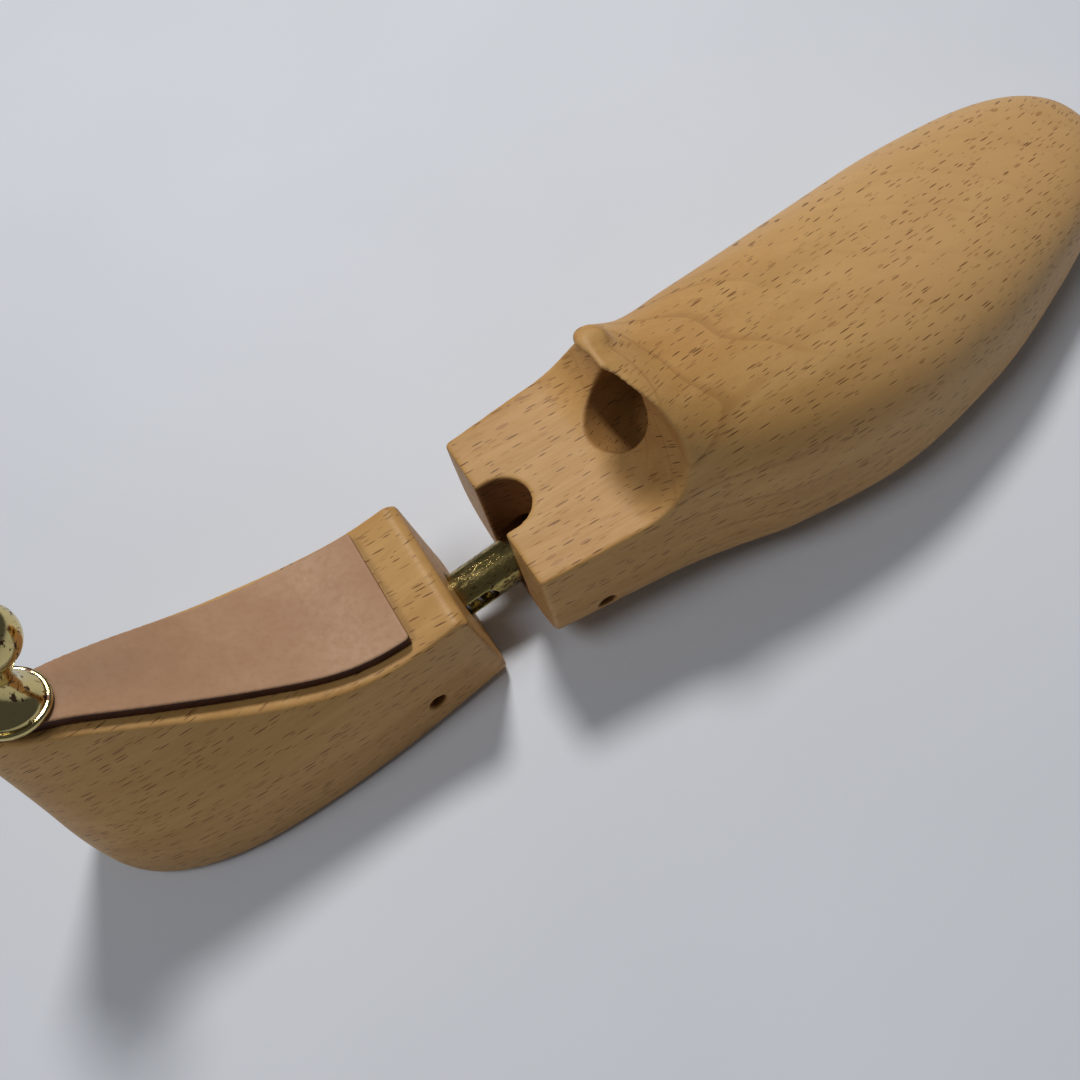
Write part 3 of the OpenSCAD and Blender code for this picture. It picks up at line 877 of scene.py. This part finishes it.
def beech():
    """Lacquered beech, its grain along X. The mesh keeps how much shade is painted in its bores and cuts.
    """
    n = Nodes("beech")
    drift = n.noise(n.scaled(n.place, (0.012, 0.03, 0.03)), colour=True, detail=2.0)
    drift = n.vector("MULTIPLY", n.vector("SUBTRACT", drift, (0.5, 0.5, 0.5)), (0.0, 9.0, 9.0))
    place = n.vector("ADD", n.place, drift)

    # The colour varies in bands along the grain, in broad clouds and in fine fibres.
    bands = n.noise(n.scaled(place, (0.012, 0.16, 0.22)), detail=4.0, rough=0.6)
    fibre = n.noise(n.scaled(place, (0.10, 2.6, 2.6)), detail=3.0, rough=0.65)
    broad = n.noise(n.scaled(place, (0.02, 0.04, 0.05)), detail=2.0)
    base = n.mix(n.band(bands, 0.30, 0.72), (0.63, 0.365, 0.128), (0.53, 0.285, 0.088))
    base = n.mix(n.band(broad, 0.35, 0.7, 0.0, 0.4), base, (0.57, 0.285, 0.085))
    base = n.mix(n.band(fibre, 0.45, 0.75, 0.0, 0.25), base, (0.38, 0.190, 0.060))
    # A painted highlight: the toe grows paler towards its tip, standing in for the light that falls on it.
    painted_toe_light = n.band(n.split(place)[0], 120.0, 190.0, 0.0, 0.6)
    base = n.mix(painted_toe_light, base, (0.70, 0.425, 0.180))
    base = n.mix(growth_rings(n, place), base, (0.36, 0.165, 0.048))

    # The rays are ribbons along the grain, in planes turned 45 degrees about it.
    turned = n.scaled(n.place, (1, 1, 1), turn=(math.radians(45), 0, 0))
    rays = n.vector("ADD", turned, n.vector("MULTIPLY", drift, (0, 0.5, 0.5)))
    wide, shade = flecks(n, rays, (7.0, 4.4, 2.6), (1.6, 1.7, 0.40), 0.4, (3.1, 7.7, 1.3))
    wide = n.math("MULTIPLY", wide, n.band(shade, 0.0, 1.0, 0.2, 0.6))
    base = n.mix(wide, base, (0.35, 0.160, 0.047))
    dashes, shade = flecks(n, rays, (3.9, 3.6, 0.86), (1.6, 1.75, 0.14), 0.72, (9.4, 2.2, 5.9))
    dark = n.math("MULTIPLY", dashes, n.band(shade, 0.0, 1.0, 0.3, 0.9))
    base = n.mix(dark, base, (0.17, 0.068, 0.020))

    # Painted shade: the bores, the notch, the recess and the scoop's wall are darkened by the share that
    # the mesh keeps.
    painted_shade = n.stored("painted_shade")
    base = n.mix(painted_shade, base, n.mix(1.0, base, (0.36, 0.25, 0.20), kind="MULTIPLY"))
    pores = n.noise(n.scaled(place, (0.9, 7.0, 7.0)), detail=2.0)
    n.bump(n.math("SUBTRACT", n.math("MULTIPLY", pores, 0.25), n.math("MULTIPLY", dashes, 0.6)), 0.05, 0.35)
    rough = n.math("ADD", n.band(fibre, 0.3, 0.8, 0.46, 0.58), n.math("MULTIPLY", painted_shade, 0.2))
    return n.look(Base_Color=base, Roughness=rough, Specular_IOR_Level=0.3)


def leather():
    """Natural leather with a dyed edge. The mesh keeps how far a point is under the top."""
    n = Nodes("leather")
    cloud = n.noise(n.scaled(n.place, (0.05, 0.07, 0.07)), detail=5.0, rough=0.6)
    fine = n.noise(n.scaled(n.place, (0.7, 0.7, 0.7)), detail=4.0, rough=0.6)
    base = n.mix(n.band(cloud, 0.3, 0.7), (0.52, 0.310, 0.180), (0.45, 0.250, 0.138))
    base = n.mix(n.band(fine, 0.4, 0.8, 0.0, 0.25), base, (0.34, 0.170, 0.090))
    back = n.math("ADD", n.split(n.place)[0], n.math("MULTIPLY", cloud, 30.0))
    base = n.mix(n.band(back, 22.0, -28.0, 0.0, 0.6), base, (0.34, 0.170, 0.075))
    streak = n.noise(n.scaled(n.place, (0.25, 1.2, 1.2)), detail=4.0)
    dyed = n.mix(n.band(streak, 0.3, 0.75), (0.036, 0.009, 0.006), (0.075, 0.020, 0.012))
    edge = n.band(n.stored("depth"), 0.18, 0.42)
    n.bump(n.noise(n.place, scale=3.2, detail=4.0, rough=0.7), 0.04, 0.25)
    rough = n.math("SUBTRACT", n.band(fine, 0.3, 0.7, 0.52, 0.62), n.math("MULTIPLY", edge, 0.12))
    return n.look(Base_Color=n.mix(edge, base, dyed), Roughness=rough, Specular_IOR_Level=0.3)


def brass(name, bright, dark, amount, scale, rough):
    """Polished brass, tarnished where a noise of the given scale is above amount."""
    n = Nodes(name)
    spots = n.noise(n.scaled(n.place, scale), detail=6.0, rough=0.62, warp=0.6)
    broad = n.noise(n.scaled(n.place, (0.12, 0.12, 0.12)), detail=2.0)
    spots = n.math("ADD", spots, n.math("MULTIPLY", broad, 0.35))
    stain = n.band(spots, amount, amount + 0.05)
    wear = n.noise(n.scaled(n.place, (0.8, 2.5, 2.5)), detail=3.0)
    n.bump(n.math("SUBTRACT", wear, stain), 0.03, 0.3)
    return n.look(
        Base_Color=n.mix(stain, bright, dark),
        Roughness=n.math("ADD", n.math("MULTIPLY", stain, 0.30), rough),
        Metallic=n.math("SUBTRACT", 1.0, n.math("MULTIPLY", stain, 0.35)),
    )


def steel():
    n = Nodes("steel")
    grain = n.noise(n.scaled(n.place, (0.6, 5.0, 5.0)), detail=3.0)
    colour = n.mix(n.band(grain, 0.3, 0.7), (0.34, 0.33, 0.32), (0.24, 0.23, 0.22))
    return n.look(Base_Color=colour, Roughness=0.4, Metallic=1.0)


def floor_look():
    n = Nodes("floor")
    cloud = n.noise(n.scaled(n.place, (0.006, 0.006, 0.006)), detail=3.0)
    base = n.mix(n.band(cloud, 0.3, 0.7), (0.77, 0.80, 0.855), (0.735, 0.765, 0.815))
    return n.look(Base_Color=base, Roughness=0.7, Specular_IOR_Level=0.2)


# ---------------------------------------------------------------- what the materials read


def fade(away):
    """1 where away is well below zero, 0 where it is well above."""
    return np.clip(0.5 - away / 0.6, 0, 1)


def fore_painted_shade(x, y, z):
    """Share of painted shade: 1 in the notch and bores, up to near their mouths, less in the recess and up
    the scoop's wall.
    """
    near = 0.35
    t, h = along_axis(x, z)
    below_deck = z - DECK_Z + 0.6
    notch = np.maximum(notch_wall(x, y) - near, np.maximum(below_deck, AXIS_Z - FORE_BORE_R - z))
    ends = np.maximum(t - FORE_BORE_T - 0.4, 0.8 - t)
    bore = np.maximum(np.hypot(h, y) - FORE_BORE_R - near, ends)
    pin = np.maximum(pin_hole(t, h, FORE_PIN_T) - 0.1, np.abs(y) - 22.5)
    bores = fade(np.minimum(np.minimum(notch, bore), pin))
    recess = 0.5 * fade(np.abs(recess_field(x, y, z)) - near)
    hx, hz = from_deck(x, z)
    scoop = fade(np.abs(np.hypot(hx - SCOOP_AT, hz - SCOOP_R) - SCOOP_R) - near)
    scoop = 0.3 * scoop * np.clip((hz - 1) / 6, 0, 1) * (hx > SCOOP_AT)
    return np.maximum(np.maximum(bores, recess), scoop)


def heel_painted_shade(x, y, z):
    """Share of painted shade: 1 in the bores, up to near their mouths."""
    t, h = along_axis(x, z)
    ends = np.maximum(t - HEEL_FACE_T + 0.5, HEEL_BORE_T - 0.4 - t)
    bore = np.maximum(np.hypot(h, y) - HEEL_BORE_R - 0.3, ends)
    pin = np.maximum(pin_hole(t, h, HEEL_PIN_T) - 0.1, np.abs(y) - 19.2)
    return fade(np.minimum(bore, pin))


def leather_depth(x, y, z):
    width, low, high, slope = leather_edges(x)
    return (high - z) / np.sqrt(1 + slope**2)


# ---------------------------------------------------------------- the pieces

WOOD = beech()
STEEL = steel()
BRASS_TUBE = brass("brass_tube", (0.42, 0.32, 0.11), (0.085, 0.060, 0.018), 0.70, (0.5, 1.6, 1.6), 0.16)
BRASS_KNOB = brass("brass_knob", (0.62, 0.50, 0.22), (0.07, 0.03, 0.012), 0.74, (0.55, 0.55, 0.55), 0.12)

WOOD_STEP = 0.55
LEATHER_STEP = 0.35
TUBE_STEP = 0.2


def dress(obj, body, node, material):
    obj.data.materials.append(material)
    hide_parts(node)
    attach(obj, body)


fore = carve("fore_wood", "fore_block", fore_field, 2, WOOD_STEP)
# The fore block's painted shade, in its bores, notch, recess and scoop.
store(fore, "painted_shade", fore_painted_shade)
dress(fore, "fore", "fore_block", WOOD)

heel = carve("heel_wood", "heel_block", heel_field, 2, WOOD_STEP)
# The heel block's painted shade, in its bores.
store(heel, "painted_shade", heel_painted_shade)
dress(heel, "heel", "heel_block", WOOD)

strip = carve("leather", "leather_strip", leather_field, 1, LEATHER_STEP)
store(strip, "depth", leather_depth)
dress(strip, "heel", "leather_strip", leather())

tube = mesh_object("brass_tube", *tube_mesh(TUBE_STEP))
dress(tube, "tube", "tube", BRASS_TUBE)

knob = mesh_object("turned_knob", *knob_mesh())
dress(knob, "heel", "knob", BRASS_KNOB)

spring = mesh_object("coil_spring", *spring_mesh())
dress(spring, "tube", "spring", STEEL)
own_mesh(spring)

for name in ("knob_screw", "heel_pin", "fore_pin", "spring_washer_rear", "spring_washer_front"):
    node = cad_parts[name]
    node.data.materials.clear()
    node.data.materials.append(STEEL)

# ---------------------------------------------------------------- floor, light, camera

bpy.ops.mesh.primitive_plane_add(size=6, location=(0.1, 0, -0.00002))
floor = bpy.context.object
floor.name = "floor"
floor.data.materials.append(floor_look())

LAMP_AIM = Vector((0.09, 0.0, 0.02))


def area_light(name, place, size, power, colour):
    """A round lamp at a place given from LAMP_AIM, which it points at. In metres and watts."""
    data = bpy.data.lights.new(name, "AREA")
    data.shape = "DISK"
    data.size = size
    data.energy = power
    data.color = colour
    lamp = bpy.data.objects.new(name, data)
    bpy.context.scene.collection.objects.link(lamp)
    lamp.location = LAMP_AIM + Vector(place)
    lamp.rotation_euler = (-Vector(place)).to_track_quat("-Z", "Y").to_euler()


area_light("key", (0.16, 0.46, 0.84), 0.22, 5.3, (1.0, 0.98, 0.96))
area_light("fill", (-0.62, -0.10, 1.22), 0.6, 3.9, (0.95, 0.97, 1.0))

world = bpy.data.worlds.new("studio")
bpy.context.scene.world = world
world.use_nodes = True
sky = world.node_tree.nodes["Background"]
sky.inputs["Color"].default_value = (0.86, 0.92, 1.0, 1.0)
sky.inputs["Strength"].default_value = 0.09

CAMERA_AT = Vector((45.313, -143.837, 251.966)) * MM
CAMERA_AIM = Vector((80.459, 9.349, 0)) * MM
CAMERA_ROLL = math.radians(-20.007)

camera = bpy.data.objects.new("camera", bpy.data.cameras.new("camera"))
bpy.context.scene.collection.objects.link(camera)
aimed = (CAMERA_AIM - CAMERA_AT).to_track_quat("-Z", "Y").to_matrix().to_4x4()
camera.matrix_world = Matrix.Translation(CAMERA_AT) @ aimed @ Matrix.Rotation(CAMERA_ROLL, 4, "Z")
camera.data.lens = 40
camera.data.sensor_width = 36
camera.data.clip_start = 0.01
bpy.context.scene.camera = camera
bpy.context.scene.view_settings.view_transform = "Standard"
